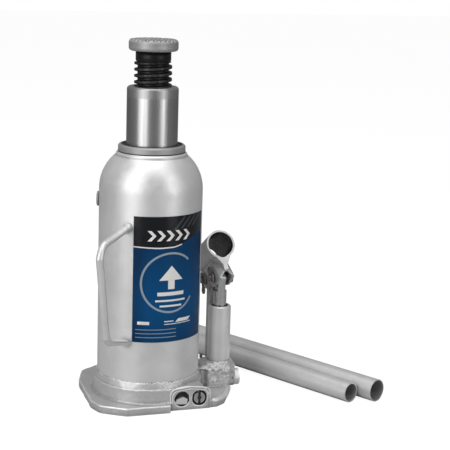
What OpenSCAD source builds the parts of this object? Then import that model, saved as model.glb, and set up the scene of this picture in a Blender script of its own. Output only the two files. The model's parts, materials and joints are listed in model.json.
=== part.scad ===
// Hydraulic bottle jack with a screw-out saddle, a hand pump and a two-piece handle.
// Origin: the ram's axis where it meets the floor. +Z up, -Y the valve side, +X the pump side.

/* [Pose] */
// Height of the ram above its lowest position
ram_raise = 43; // [0:1:150]
// Length of the extension screw drawn out of the ram
screw_out = 28; // [0:1:80]
// Tilt of the handle socket above the horizontal, degrees
socket_tilt = 30; // [0:1:36]

/* [Oil tank] */
// Outer diameter of the oil tank
tank_d = 84; // [82:1:88]
// Thickness of the tank's sheet wall
tank_wall = 2.5; // [2:0.1:3]
// Height of the tank's lower edge above the floor
tank_z0 = 18; // [17.5:0.5:18.5]
// Height at which the straight tank wall turns into the shoulder
shoulder_z = 176; // [172:1:178]
// Radius of the shoulder's curve
shoulder_r = 35.6; // [34:0.1:36]
// Height of the tank's top lip
lip_z = 206; // [205.5:0.5:206.5]

/* [Ram and cylinder] */
// Diameter of the polished ram
ram_d = 41.5; // [41:0.1:42]
// Hydraulic stroke of the ram
ram_stroke = 150; // [140:1:150]
// Height of the ram's top end when it is fully down
ram_low_z = 215.5; // [215:0.5:217]
// Bore of the pressure cylinder
cylinder_bore_d = 44; // [43.8:0.1:44.4]
// Outer diameter of the pressure cylinder
cylinder_d = 52; // [51:0.5:52]

/* [Extension screw] */
// Crest diameter of the extension screw's thread
screw_d = 30.3; // [29:0.1:31]
// Height of one thread turn
screw_pitch = 5; // [4:0.5:6]
// Depth of the thread
screw_depth = 2.6; // [2:0.1:3]
// Travel of the extension screw
screw_travel = 80; // [60:1:80]
// Diameter of the saddle
saddle_d = 39.8; // [38:0.2:41]
// Height of the saddle
saddle_h = 9.3; // [8.8:0.1:11]

/* [Pump] */
// Distance from the ram's axis to the pump's axis
pump_x = 61.5; // [60:0.5:64]
// Outer diameter of the pump cylinder
pump_d = 19; // [18.4:0.1:19.4]
// Height of the pump cylinder's top end
pump_top_z = 74.5; // [73.5:0.5:75.5]
// Diameter of the pump piston
piston_d = 11; // [10:0.5:11.4]
// Diameter of the three linkage pins
pin_d = 6; // [5:0.2:6.4]
// Distance between the two pins of the link plates
link_len = 74.5; // [73:0.5:76]
// Inner diameter of the handle socket
socket_d = 20.5; // [20:0.1:20.8]
// Length of the handle socket
socket_len = 45; // [40:1:48]

/* [Base] */
// Diameter of the round boss that carries the tank
boss_d = 89.4; // [88:0.2:92]
// Thickness of the foot at its rim
foot_h = 6.5; // [6:0.5:7]
// Height of the release and relief valves above the floor
valve_z = 9.4; // [9:0.1:10]

/* [Handles] */
// Diameter of the carrying handle's rod
grip_d = 6; // [5:0.2:7]
// Outer diameter of the outer pump handle tube
outer_tube_d = 19; // [18.5:0.1:19]
// Outer diameter of the inner pump handle tube
inner_tube_d = 17; // [16:0.1:17]
// Length of each pump handle tube
tube_len = 288; // [240:1:300]

/* [Hidden] */

$fn = 96;
eps = 0.5;            // how far a cutter runs past the face it cuts
run_gap = 0.05;       // radial clearance of a part that slides or turns
set_gap = 0.02;       // radial clearance of a part that is screwed or pressed in

// Oil tank
tank_r = tank_d / 2;
lip_hole_r = cylinder_d / 2 + 0.1;
lip_r = 28.9;
lip_top_r = 27.7;
lip_h = 3;

// Pressure cylinder, nut and ram
well_z = 12.5;                            // floor of the cylinder's well in the base
gasket_h = 1.5;
cylinder_z0 = well_z + gasket_h;
cylinder_z1 = lip_z - 1;
bore_r = cylinder_bore_d / 2;
ram_r = ram_d / 2;
ram_len = ram_low_z - 26;                 // from the shoulder above the cup seal to the top end
ram_z0 = 26 + ram_raise;
ram_z1 = ram_low_z + ram_raise;
head_h = 12;                              // length of the ram's guide head
nut_z0 = 26 + head_h + ram_stroke;        // the guide head meets the nut here at full stroke
nut_gasket_h = 0.8;
nut_z1 = lip_z + nut_gasket_h;
nut_h = 5.2;
nut_flange_r = 27.2;
nut_thread_r = 23.9;
wiper_r = 24.6;
wiper_h = 4;
spigot_r = 9;                             // the ram's lower spigot, which carries the cup seal
cup_h = 7.5;

// Extension screw and saddle
screw_r = screw_d / 2;
screw_neck = 8;
thread_hold = 34;                         // length of the ram's inner thread
screw_len = thread_hold + screw_travel;   // underside of the saddle to the stop ring
saddle_z = ram_z1 + screw_out;
stop_ring_h = 2;
stop_groove_r = 9.5;
relieved_bore_r = screw_r + 1.45;

// Pump linkage, in the plane x = pump_x, as [y, z]
fulcrum = [22, 16.5];
pin_back = 22.5;                          // from the piston pin to the link pin, along the socket
pin_up = 4.9;                             // and square to the socket
pin_dy = pin_back * cos(socket_tilt) + pin_up * sin(socket_tilt);
pin_dz = -pin_back * sin(socket_tilt) + pin_up * cos(socket_tilt);
link_top = [pin_dy, fulcrum[1] + sqrt(link_len * link_len - pow(pin_dy - fulcrum[0], 2))];
piston_eye = [0, link_top[1] - pin_dz];
link_tilt = asin((pin_dy - fulcrum[0]) / link_len);
pin_r = pin_d / 2;
piston_r = piston_d / 2;
tang_t = 6.4;                             // thickness of the piston's flat top end
tang_h = 11;                              // from the piston pin down to the tang's shoulders
ear_in = 4.7;                             // half the gap between the socket's two ears
sheet_t = 2.1;                            // thickness of the socket's sheet
pin_half = 7.9;                           // half the length that a socket pin spans
link_in = 1.4;                            // half the gap between the two link plates
link_t = 1.7;
link_w = 10.8;
lug_in = 3.4;                             // half the gap of the fork that holds the links
lug_out = 7;
lug_r = 5.2;
socket_r = socket_d / 2;
socket_axis_up = 23.7;                    // from the piston pin up to the socket's axis
socket_front = 18.4;                      // from the piston pin forward to the socket's mouth
loop_lean = 6;                            // the folded loop leans sideways over its pins, degrees
slot_play = 0.8;                          // play of the link pin in the link plates' slots
boss_top_z = 26;                          // floor of the pump cylinder's seat
pump_z0 = 15;
piston_len = 66;                          // from the piston's pin down to its lower end

// Valves in the base
panel_y = -44;
delivery_y = 3.8;
delivery_z = 4.5;
relief_x = 17.6;
release_x = 32.4;
gallery_z = 10.5;
valve_pocket_r = 6.3;
release_r = 4.75;
release_seat_y = -16;
relief_seat_y = -25;
ball_r = 3;

// Filler
filler_az = 162;
filler_z = 166;
filler_r = 4.9;

steel = "#9a9b9c";
dark_steel = "#3c3c3e";
paint = "#b9babb";
rubber = "#1d1d1f";

// Points of a closed outline whose corners [x, y, r] are rounded to the radius r
function corner_arc(p, q, s, n = 6) =
    let (a = [p[0] - q[0], p[1] - q[1]], b = [s[0] - q[0], s[1] - q[1]],
         ua = a / norm(a), ub = b / norm(b),
         half = acos(ua * ub) / 2,
         d = q[2] / tan(half),
         m = (ua + ub) / norm(ua + ub),
         c = [q[0], q[1]] + m * q[2] / sin(half),
         t0 = [q[0], q[1]] + ua * d - c,
         t1 = [q[0], q[1]] + ub * d - c,
         a0 = atan2(t0[1], t0[0]),
         turn = atan2(t0[0] * t1[1] - t0[1] * t1[0], t0 * t1))
    [for (i = [0 : n]) c + q[2] * [cos(a0 + turn * i / n), sin(a0 + turn * i / n)]];
function rounded(c) =
    let (n = len(c))
    [for (i = [0 : n - 1]) each corner_arc(c[(i + n - 1) % n], c[i], c[(i + 1) % n])];

// A ring about Z between two heights
module ring(r_in, r_out, z0, z1) {
    translate([0, 0, z0])
        difference() {
            cylinder(h = z1 - z0, r = r_out);
            translate([0, 0, -eps]) cylinder(h = z1 - z0 + 2 * eps, r = r_in);
        }
}

// A ring of round section about Z
module round_ring(ring_r, wire_r) {
    rotate_extrude() translate([ring_r, 0]) circle(r = wire_r, $fn = 24);
}

// Cylinders along X and Y that start at a point
module along_x(x0, x1, y, z, r) {
    translate([x0, y, z]) rotate([0, 90, 0]) cylinder(h = x1 - x0, r = r);
}
module along_y(x, y0, y1, z, r) {
    translate([x, y0, z]) rotate([-90, 0, 0]) cylinder(h = y1 - y0, r = r);
}

// A compression spring's coils, as a stack of rings joined by a thin sleeve
module spring(coil_r, wire_r, length, coils) {
    step = (length - 2 * wire_r) / (coils - 1);
    union() {
        for (i = [0 : coils - 1])
            translate([0, 0, wire_r + i * step]) round_ring(coil_r, wire_r);
        ring(coil_r - wire_r / 3, coil_r + wire_r / 3, wire_r, length - wire_r);
    }
}

// ---------------------------------------------------------------- base

// Outline of the foot as corners [x, y, r]
foot_corners = [
    [-29, -49, 6], [7.2, -49, 1.5], [7.2, -40, 1], [41.8, -40, 1], [41.8, -43, 1], [47, -43, 4],
    [56, -36.5, 9], [69.5, -10, 12], [70, 12, 5], [54, 17, 6], [50, 40, 10], [36, 62, 10],
    [24, 70, 12], [-27, 70, 12], [-44, 57, 12], [-51.5, 33, 14], [-53, -22, 12], [-49, -36, 12]
];

// Arched face that the two valves stand in
panel_corners = [[7, 0, 0.3], [7, 13, 5], [12, 19, 5], [24, 20.2, 20], [36, 18.8, 4],
                 [41.3, 12.5, 5], [41.8, 0, 0.3]];

// Outline of the block that carries the pump
block_corners = [[40, -9, 1], [47.5, -9, 2], [49, -13, 2], [66.5, -13, 3.5], [75, -5.5, 3.5],
                 [75, 6, 4], [67, 13, 6], [40, 13, 2]];
block_z0 = 7.6;
block_z1 = 22.3;
plug_face_x = 75.2;

module panel(y0, y1) {
    translate([0, y1, 0]) rotate([90, 0, 0])
        linear_extrude(y1 - y0) polygon(rounded(panel_corners));
}

// Block on a pedestal that stays inside the foot, with sloped shoulders up to the pump
module pump_block() {
    translate([0, 0, block_z0]) linear_extrude(block_z1 - block_z0) polygon(rounded(block_corners));
    translate([0, 0, foot_h - eps]) linear_extrude(block_z0 - foot_h + 2 * eps) intersection() {
        polygon(rounded(block_corners));
        polygon(rounded(foot_corners));
    }
    hull() {
        translate([0, 0, block_z1 - 0.1]) linear_extrude(0.1) polygon(rounded(block_corners));
        translate([pump_x, 0, boss_top_z + 1.5]) cylinder(h = 0.1, r = 10.6, $fn = 32);
    }
    along_x(66, plug_face_x, 0, gallery_z, 7.4);
}

// Fork that holds the links' lower end
module fulcrum_fork() {
    for (x0 = [pump_x - lug_out, pump_x + lug_in]) {
        along_x(x0, x0 + lug_out - lug_in, fulcrum[0], fulcrum[1], lug_r);
        translate([x0, 10, fulcrum[1] - lug_r])
            cube([lug_out - lug_in, fulcrum[0] - 10, 2 * lug_r]);
    }
}

module base_solid() {
    weld_z0 = tank_z0 + 0.6;
    linear_extrude(foot_h) polygon(rounded(foot_corners));
    cylinder(h = weld_z0, r = boss_d / 2);
    translate([0, 0, weld_z0]) cylinder(h = 6.2, r1 = boss_d / 2 - 0.9, r2 = tank_r + 0.3);
    panel(panel_y, -20);
    pump_block();
    fulcrum_fork();
}

module suction_passages() {
    along_x(30.5, plug_face_x + 1, 0, gallery_z, 1.8);
    along_x(70, plug_face_x + 1, 0, gallery_z, 4.6);
    translate([33, 0, gallery_z]) cylinder(h = 10, r = 2);
    translate([pump_x, 0, gallery_z]) cylinder(h = 8, r = 1.5);
    translate([pump_x, 0, pump_z0 - 2]) cylinder(h = 3, r = 4);
}

module delivery_passages() {
    translate([pump_x, delivery_y, delivery_z]) cylinder(h = 10, r = 1.2);
    along_x(12, 72, delivery_y, delivery_z, 1.2);
    translate([12, delivery_y, delivery_z]) cylinder(h = 3.5, r = 1.2);
    translate([12, delivery_y, 6]) cylinder(h = 10, r = 2.6);
}

module release_passages() {
    along_y(release_x, panel_y - 6, panel_y + 3.6, valve_z, valve_pocket_r);
    along_y(release_x, panel_y, release_seat_y, valve_z, release_r + run_gap);
    along_y(release_x, release_seat_y - 0.1, -6.5, valve_z, 1.8);
    along_x(14, release_x, -8, valve_z, 1.4);
    translate([15, -8, valve_z]) cylinder(h = 5, r = 1.4);
    translate([release_x, -20.5, valve_z]) cylinder(h = 12, r = 1.2);
}

module relief_passages() {
    along_y(relief_x, panel_y - 6, panel_y + 3.6, valve_z, valve_pocket_r);
    along_y(relief_x, panel_y, relief_seat_y, valve_z, release_r);
    along_y(relief_x, relief_seat_y - 0.1, -11, valve_z, 1.4);
    translate([relief_x, -12, valve_z]) cylinder(h = 5, r = 1.2);
    translate([relief_x, -32, valve_z]) cylinder(h = 12, r = 1.2);
}

module base() {
    color(paint) difference() {
        base_solid();
        translate([0, 0, well_z]) cylinder(h = 30, r = cylinder_d / 2 + set_gap);
        ring(34.2, tank_r + set_gap, tank_z0 - 2, 40);
        translate([0, 0, tank_z0]) cylinder(h = 30, r = tank_r + set_gap);
        translate([pump_x, 0, pump_z0 - 1]) cylinder(h = 30, r = 8);
        translate([pump_x, 0, boss_top_z]) cylinder(h = 6, r = pump_d / 2 + 0.3);
        along_x(pump_x - 20, pump_x + 20, fulcrum[0], fulcrum[1], pin_r + set_gap);
        suction_passages();
        delivery_passages();
        release_passages();
        relief_passages();
    }
}

// ---------------------------------------------------------------- oil tank

// Half section of the tank, solid, its wall drawn in by a given amount
module tank_section(inset) {
    curve_r = shoulder_r - inset;
    curve_x = tank_r - shoulder_r;
    translate([0, tank_z0 - 2]) square([tank_r - inset, shoulder_z - tank_z0 + 2]);
    intersection() {
        translate([curve_x, shoulder_z]) circle(r = curve_r);
        translate([0, shoulder_z - eps]) square([tank_r, lip_z - lip_h - shoulder_z + eps]);
    }
    translate([0, shoulder_z - eps]) square([curve_x, lip_z - lip_h - shoulder_z + eps - inset]);
}

module tank() {
    color(paint) difference() {
        rotate_extrude() difference() {
            union() {
                tank_section(0);
                polygon([[0, lip_z - lip_h - 0.6], [lip_r, lip_z - lip_h - 0.6],
                         [lip_r, lip_z - 1.4], [lip_top_r, lip_z], [0, lip_z]]);
            }
            tank_section(tank_wall);
            square([lip_hole_r, lip_z + eps]);
            square([tank_r + eps, tank_z0]);
        }
        rotate([0, 0, filler_az]) along_x(tank_r - 8, tank_r + 8, 0, filler_z, filler_r + 0.1);
    }
}

module tank_bottom_seal() {
    color(rubber) ring(tank_r - tank_wall, tank_r - 0.1, tank_z0 - 1.9, tank_z0);
}

module tank_top_gasket() {
    color(rubber) ring(lip_hole_r, nut_flange_r - 0.1, lip_z, nut_z1);
}

// ---------------------------------------------------------------- cylinder and nut

module pressure_cylinder() {
    color(steel) difference() {
        ring(bore_r, cylinder_d / 2, cylinder_z0, cylinder_z1);
        translate([0, 0, nut_z0]) cylinder(h = 40, r = nut_thread_r);
    }
}

module cylinder_gasket() {
    color("#b5733c") ring(bore_r, cylinder_d / 2 - 0.1, well_z, cylinder_z0);
}

module top_nut() {
    top = nut_z1 + nut_h;
    color(paint) rotate_extrude() polygon([
        [ram_r + run_gap, nut_z0], [nut_thread_r - set_gap, nut_z0], [nut_thread_r - set_gap, nut_z1],
        [nut_flange_r, nut_z1], [nut_flange_r, top - 1.2], [nut_flange_r - 1.2, top],
        [wiper_r, top], [wiper_r, top - wiper_h], [ram_r + run_gap, top - wiper_h],
        [ram_r + run_gap, nut_z0 + 11], [ram_r + 1.9, nut_z0 + 11],
        [ram_r + 1.9, nut_z0 + 8], [ram_r + run_gap, nut_z0 + 8]
    ]);
}

module ram_wiper() {
    z0 = nut_z1 + nut_h - wiper_h;
    color(rubber) rotate_extrude() polygon([
        [ram_r + run_gap, z0], [wiper_r - set_gap, z0], [wiper_r - set_gap, z0 + 3.2],
        [ram_r + 1.6, z0 + 3.2], [ram_r + run_gap, z0 + 3.9]
    ]);
}

module ram_oring() {
    color(rubber) ring(ram_r + run_gap, ram_r + 1.85, nut_z0 + 8, nut_z0 + 10.9);
}

// ---------------------------------------------------------------- ram

module ram() {
    edge = 2.4;
    color("#d8dadc") difference() {
        union() {
            translate([0, 0, ram_z0]) cylinder(h = ram_len - edge, r = ram_r);
            rotate_extrude() translate([0, ram_z1 - edge]) {
                square([ram_r - edge, edge]);
                intersection() {
                    translate([ram_r - edge, 0]) circle(r = edge);
                    translate([ram_r - edge, 0]) square(edge);
                }
            }
            translate([0, 0, ram_z0]) cylinder(h = head_h, r = bore_r - run_gap);
            translate([0, 0, ram_z0 - 10]) cylinder(h = 11, r = spigot_r);
        }
        translate([0, 0, ram_z1 - thread_hold]) cylinder(h = 60, r = screw_r + 0.1);
        translate([0, 0, ram_z1 - screw_len - 12])
            cylinder(h = screw_len + 12 - thread_hold, r = relieved_bore_r);
        ring(spigot_r - 1, spigot_r + 2, ram_z0 - 9.4, ram_z0 - 8);
    }
}

module ram_cup_seal() {
    color(rubber) rotate_extrude() polygon([
        [spigot_r + set_gap, ram_z0], [bore_r - 0.3, ram_z0],
        [bore_r - run_gap, ram_z0 - 2], [bore_r - run_gap, ram_z0 - cup_h + 0.6],
        [bore_r - 1.6, ram_z0 - cup_h + 0.6], [bore_r - 3, ram_z0 - 4],
        [spigot_r + set_gap, ram_z0 - 4]
    ]);
}

module cup_washer() {
    color(steel) ring(spigot_r + set_gap, bore_r - 5, ram_z0 - 8, ram_z0 - 4);
}

module cup_circlip() {
    color(dark_steel) difference() {
        ring(spigot_r - 0.9, spigot_r + 2, ram_z0 - 9.3, ram_z0 - 8.05);
        translate([-2, 0, ram_z0 - 10]) cube([4, 20, 3]);
    }
}

// ---------------------------------------------------------------- extension screw

// Points of the thread's ridges, from the neck downwards
function ridge_points(z_top, count, root_r) = [
    for (i = [0 : count - 1])
        let (z = z_top - i * screw_pitch)
        each [[root_r, z], [screw_r, z - screw_pitch * 0.17], [screw_r, z - screw_pitch * 0.57],
              [root_r, z - screw_pitch * 0.74]]
];

module extension_screw() {
    root_r = screw_r - screw_depth;
    ridges = floor((screw_len - screw_neck - 2) / screw_pitch);
    bottom = saddle_z - screw_len;
    color("#26262a") rotate_extrude() polygon(concat(
        [[0, saddle_z + 6], [8, saddle_z + 6], [8, saddle_z], [screw_r - 0.95, saddle_z],
         [screw_r - 0.95, saddle_z - screw_neck + 1]],
        ridge_points(saddle_z - screw_neck, ridges, root_r),
        [[root_r, bottom + 0.5], [root_r, bottom], [stop_groove_r, bottom],
         [stop_groove_r, bottom - stop_ring_h - 0.1], [root_r, bottom - stop_ring_h - 0.1],
         [root_r, bottom - stop_ring_h - 2], [0, bottom - stop_ring_h - 2]]
    ));
}

module screw_stop_ring() {
    z1 = saddle_z - screw_len;
    color(dark_steel) difference() {
        ring(stop_groove_r + run_gap, relieved_bore_r - 0.1, z1 - stop_ring_h, z1 - 0.05);
        translate([-1.5, 0, z1 - 3]) cube([3, 20, 4]);
    }
}

module saddle() {
    r = saddle_d / 2;
    edge = 3.4;
    groove = 1.1;
    color(paint) difference() {
        rotate_extrude() difference() {
            union() {
                translate([0, saddle_z]) square([r - edge, saddle_h]);
                translate([0, saddle_z + edge]) square([r, saddle_h - 2 * edge]);
                translate([r - edge, saddle_z + edge]) circle(r = edge, $fn = 32);
                translate([r - edge, saddle_z + saddle_h - edge]) circle(r = edge, $fn = 32);
            }
            square([8 + set_gap, saddle_z + 6.1]);
        }
        ring(8.5, 10, saddle_z + saddle_h - groove, saddle_z + saddle_h + 1);
        ring(14, 15.5, saddle_z + saddle_h - groove, saddle_z + saddle_h + 1);
        for (a = [0 : 45 : 315])
            rotate([0, 0, a]) translate([8.6, -1, saddle_z + saddle_h - groove]) cube([20, 2, 4]);
    }
}

// ---------------------------------------------------------------- carrying handle and label

grip_az = 230;                             // direction of the handle from the ram's axis
grip_bend = 12;
grip_path = [[tank_r - 2, 150.7], [91, 143.5, grip_bend], [76.5, 65.5, grip_bend],
             [tank_r - 2, 56.4]];

// A bent rod of round section along points of the XZ plane
module bent_rod(path, r, sides = 24) {
    last = len(path) - 1;
    skin = [for (i = [0 : last])
        let (d = path[min(i + 1, last)] - path[max(i - 1, 0)], u = d / norm(d))
        for (k = [0 : sides - 1])
            let (a = 360 * k / sides)
            [path[i][0] - u[1] * r * cos(a), r * sin(a), path[i][1] + u[0] * r * cos(a)]];
    walls = [for (i = [0 : last - 1], k = [0 : sides - 1])
        let (a = i * sides + k, b = i * sides + (k + 1) % sides)
        each [[a, b + sides, a + sides], [a, b, b + sides]]];
    caps = [[for (k = [sides - 1 : -1 : 0]) k], [for (k = [0 : sides - 1]) last * sides + k]];
    polyhedron(points = skin, faces = concat(walls, caps));
}

module carry_handle() {
    p = grip_path;
    r = grip_d / 2;
    color(paint) rotate([0, 0, grip_az]) difference() {
        union() {
            bent_rod(concat([p[0]], corner_arc(p[0], p[1], p[2], 8), corner_arc(p[1], p[2], p[3], 8),
                            [p[3]]), r);
            for (end = [p[0], p[3]]) translate([tank_r, 0, end[1]]) sphere(r = r + 1.4, $fn = 32);
        }
        cylinder(h = 300, r = tank_r + set_gap);
    }
}

module label() {
    color("#12447c") rotate([0, 0, -90 - 33]) rotate_extrude(angle = 93)
        translate([tank_r + set_gap, 58]) square([0.25, 102.3]);
}

// ---------------------------------------------------------------- pump

module pump_cylinder() {
    color(paint) translate([pump_x, 0, 0]) difference() {
        rotate_extrude() polygon([
            [0, pump_z0], [8 - set_gap, pump_z0], [8 - set_gap, boss_top_z], [pump_d / 2, boss_top_z],
            [pump_d / 2, pump_top_z - 1], [pump_d / 2 - 1, pump_top_z], [0, pump_top_z]
        ]);
        cylinder(h = 100, r = piston_r + run_gap);
        translate([0, 0, pump_top_z - 5]) cylinder(h = 10, r = 7);
    }
}

module pump_gasket() {
    color("#b5733c") translate([pump_x, 0, 0]) ring(4, 7.9, pump_z0 - 1, pump_z0);
}

module pump_wiper() {
    color(rubber) translate([pump_x, 0, 0])
        ring(piston_r + run_gap, 7 - set_gap, pump_top_z - 5, pump_top_z - 2);
}

module suction_ball() {
    color(steel) translate([pump_x, 0, pump_z0 - 0.66]) sphere(r = 2);
}

module suction_plug() {
    color(paint) {
        along_x(70.5, plug_face_x + 0.1, 0, gallery_z, 4.6 - set_gap);
        along_x(plug_face_x + set_gap, plug_face_x + 4, 0, gallery_z, 6.9);
    }
}

module oil_strainer() {
    color("#c9a24a") translate([33, 0, 0]) ring(0.8, 4.5, tank_z0, tank_z0 + 2.5);
}

module delivery_ball() {
    color(steel) translate([12, delivery_y, 7.62]) sphere(r = 2);
}

module delivery_spring() {
    color(steel) translate([12, delivery_y, 9.75]) spring(1.6, 0.3, 2.2, 3);
}

module delivery_retainer() {
    color(steel) translate([12, delivery_y, 0]) ring(0.8, 2.6 - set_gap, 12, 12.9);
}

module delivery_plug() {
    color(steel) along_x(64, 67, delivery_y, delivery_z, 1.2 - set_gap);
}

module pump_piston() {
    bottom = piston_eye[1] - piston_len;
    shoulder = piston_eye[1] - tang_h;
    color("#a8a9ab") translate([pump_x, 0, 0]) difference() {
        union() {
            translate([0, 0, bottom]) cylinder(h = shoulder - bottom, r = piston_r);
            intersection() {
                union() {
                    translate([0, 0, shoulder - 1]) cylinder(h = tang_h + 1, r = piston_r);
                    along_x(-tang_t, tang_t, 0, piston_eye[1], piston_r);
                }
                translate([-tang_t / 2, -20, bottom]) cube([tang_t, 40, 2 * piston_len]);
            }
        }
        ring(piston_r - 1.8, piston_r + 1, bottom + 3, bottom + 6.8);
        along_x(-20, 20, 0, piston_eye[1], pin_r + run_gap);
    }
}

module piston_oring() {
    color(rubber) translate([pump_x, 0, piston_eye[1] - piston_len + 3])
        ring(piston_r - 1.75, piston_r + run_gap / 2, 0.02, 2.4);
}

module piston_backup_ring() {
    color("#e8e6df") translate([pump_x, 0, piston_eye[1] - piston_len + 3])
        ring(piston_r - 1.75, piston_r + run_gap / 2, 2.45, 3.75);
}

// ---------------------------------------------------------------- handle socket and links

// Places children in the socket's own frame: X across, Y from the mouth backwards, Z square to both
module in_socket() {
    translate([pump_x, piston_eye[0], piston_eye[1]]) rotate([-socket_tilt, 0, 0]) children();
}

// The folded sheet's loop in section: a teardrop whose tip opens into a slit
module loop_section() {
    tip_z = 11.7;
    reach = socket_axis_up - tip_z;
    touch = acos(socket_r / reach);
    outer_r = socket_r + sheet_t;
    tip_w = 2.1;
    drop = (outer_r * sin(touch) - tip_w) / tan(touch);
    difference() {
        translate([0, socket_axis_up]) union() {
            circle(r = outer_r);
            polygon([[-outer_r * sin(touch), -outer_r * cos(touch)], [0, 0],
                     [outer_r * sin(touch), -outer_r * cos(touch)],
                     [tip_w, -outer_r * cos(touch) - drop], [-tip_w, -outer_r * cos(touch) - drop]]);
        }
        translate([0, socket_axis_up]) {
            circle(r = socket_r);
            polygon([[0, 0], [-socket_r * sin(touch), -socket_r * cos(touch)], [0, -reach],
                     [socket_r * sin(touch), -socket_r * cos(touch)]]);
        }
    }
}

// Side view of one ear, as corners [along, up, r]
ear_corners = [[-15.5, -4.5, 2], [2, -7, 7], [16, -3.2, 10], [29.4, -1.6, 6], [29.4, 13.6, 1],
               [-4, 13.6, 1]];

// Side view of the two sheets where they touch under the mouth
neck_corners = [[-18.4, 12.5], [-18.4, 1.5], [-15.5, 0.5], [-5, 9.7], [-5, 12.5]];

// Sheet that bends from the neck out to one ear
module flare(side) {
    hull() for (p = [[1.2, -16, 1.8], [1.2, -5.5, 10], [5.75, -14.5, -3.6], [5.75, -4.5, 12.5]])
        translate([side * p[0], p[1], p[2]]) sphere(r = sheet_t / 2, $fn = 32);
}

module side_plate(x0, w, corners) {
    translate([x0, 0, 0]) rotate([90, 0, 90]) linear_extrude(w) polygon(corners);
}

module handle_socket() {
    slit = 0.12;
    body_back = socket_len - socket_front;
    color(paint) in_socket() difference() {
        translate([0.5, 0, 0]) rotate([0, -loop_lean, 0]) difference() {
            union() {
                translate([0, body_back, 0]) rotate([90, 0, 0])
                    linear_extrude(socket_len) loop_section();
                side_plate(-2.1, 4.2, neck_corners);
                for (side = [-1, 1]) {
                    flare(side);
                    side_plate(side > 0 ? ear_in : -ear_in - sheet_t, sheet_t, rounded(ear_corners));
                }
            }
            translate([0, body_back + 5, socket_axis_up]) rotate([90, 0, 0])
                cylinder(h = socket_len + 10, r = socket_r);
            translate([-slit / 2, -40, -20]) cube([slit, 80, 34]);
            translate([-ear_in, 12, 0]) cube([2 * ear_in, 60, 11.3]);
        }
        along_x(-30, 30, 0, 0, pin_r + set_gap);
        along_x(-30, 30, pin_back, pin_up, pin_r + set_gap);
    }
}

// A headed pin along X about the pump's plane, with a cross hole for its cotter
module headed_pin(half_len) {
    difference() {
        union() {
            along_x(-half_len - 2.6, half_len + 0.2, 0, 0, pin_r);
            along_x(half_len + 0.1, half_len + 2, 0, 0, pin_r + 1.6);
        }
        translate([-half_len - 1.3, 0, -10]) cylinder(h = 20, r = 1.05);
    }
}

// A split pin through the headed pin's cross hole, its eye at a height above the pin
module cotter(half_len, eye_z, eye_r) {
    up = sign(eye_z);
    translate([-half_len - 1.3, 0, 0]) {
        translate([0, 0, up > 0 ? -7 : eye_z + eye_r]) cylinder(h = 7 + up * (eye_z - up * eye_r),
                                                                r = 0.95, $fn = 24);
        translate([0, 0, eye_z]) rotate([0, 90, 0]) round_ring(eye_r, 0.9);
    }
}

module piston_pin() { color(dark_steel) in_socket() headed_pin(pin_half); }
module link_pin() {
    color(dark_steel) in_socket() translate([0, pin_back, pin_up]) headed_pin(pin_half);
}
module socket_cotters() {
    color("#6b5c4c") in_socket() {
        cotter(pin_half, 6.2, 1.6);
        translate([0, pin_back, pin_up]) cotter(pin_half, -9, 2.2);
    }
}

module link_plates() {
    hole_r = pin_r + 0.35;
    color(steel) translate([pump_x, fulcrum[0], fulcrum[1]]) rotate([-link_tilt, 0, 0]) {
        for (x0 = [-link_in - link_t, link_in])
            translate([x0, 0, 0]) difference() {
                union() {
                    along_x(0, link_t, 0, 0, link_w / 2);
                    along_x(0, link_t, 0, link_len, link_w / 2);
                    translate([0, -link_w / 2, 0]) cube([link_t, link_w, link_len]);
                }
                along_x(-1, link_t + 1, 0, 0, pin_r + run_gap);
                along_x(-1, link_t + 1, -slot_play, link_len, hole_r);
                along_x(-1, link_t + 1, slot_play, link_len, hole_r);
                translate([-1, -slot_play, link_len - hole_r])
                    cube([link_t + 2, 2 * slot_play, 2 * hole_r]);
            }
    }
}

module at_fulcrum() { translate([pump_x, fulcrum[0], fulcrum[1]]) children(); }
module fulcrum_pin() { color(dark_steel) at_fulcrum() headed_pin(lug_out + 0.1); }
module fulcrum_cotter() { color("#6b5c4c") at_fulcrum() cotter(lug_out + 0.1, 6.2, 1.6); }

// ---------------------------------------------------------------- valves

module release_ball() {
    color(steel) translate([release_x, release_seat_y - 2.45, valve_z]) sphere(r = ball_r);
}

module release_valve() {
    tip_y = release_seat_y - 5.5;
    color("#c4c5c6") difference() {
        union() {
            along_y(release_x, panel_y + 0.6, tip_y - 4, valve_z, release_r - 0.02);
            along_y(release_x, tip_y - 4.2, tip_y, valve_z, 3);
        }
        translate([release_x - 1, panel_y - 2, valve_z - 6]) cube([2, 5.4, 12]);
        translate([release_x, -32, valve_z]) rotate([90, 0, 0]) ring(3.6, 8, 0, 2.4);
    }
}

module release_oring() {
    color(rubber) translate([release_x, -32.1, valve_z]) rotate([90, 0, 0])
        ring(3.65, release_r - 0.01, 0, 2.2);
}

module relief_ball() {
    color(steel) translate([relief_x, relief_seat_y - 2.7, valve_z]) sphere(r = ball_r);
}

module relief_spring() {
    color(steel) translate([relief_x, relief_seat_y - 5.75, valve_z]) rotate([90, 0, 0])
        spring(2.6, 0.5, 4.5, 4);
}

module relief_screw() {
    color(steel) difference() {
        along_y(relief_x, -38.4, -35.4, valve_z, release_r - set_gap);
        translate([relief_x - 4, -40, valve_z - 0.6]) cube([8, 3, 1.2]);
    }
}

module relief_cap() {
    color(paint) {
        along_y(relief_x, panel_y + 3, -38.5, valve_z, release_r - set_gap);
        translate([relief_x, panel_y + 3.58, valve_z]) rotate([90, 15, 0])
            cylinder(h = 4.1, r = 5.6, $fn = 6);
    }
}

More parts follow.
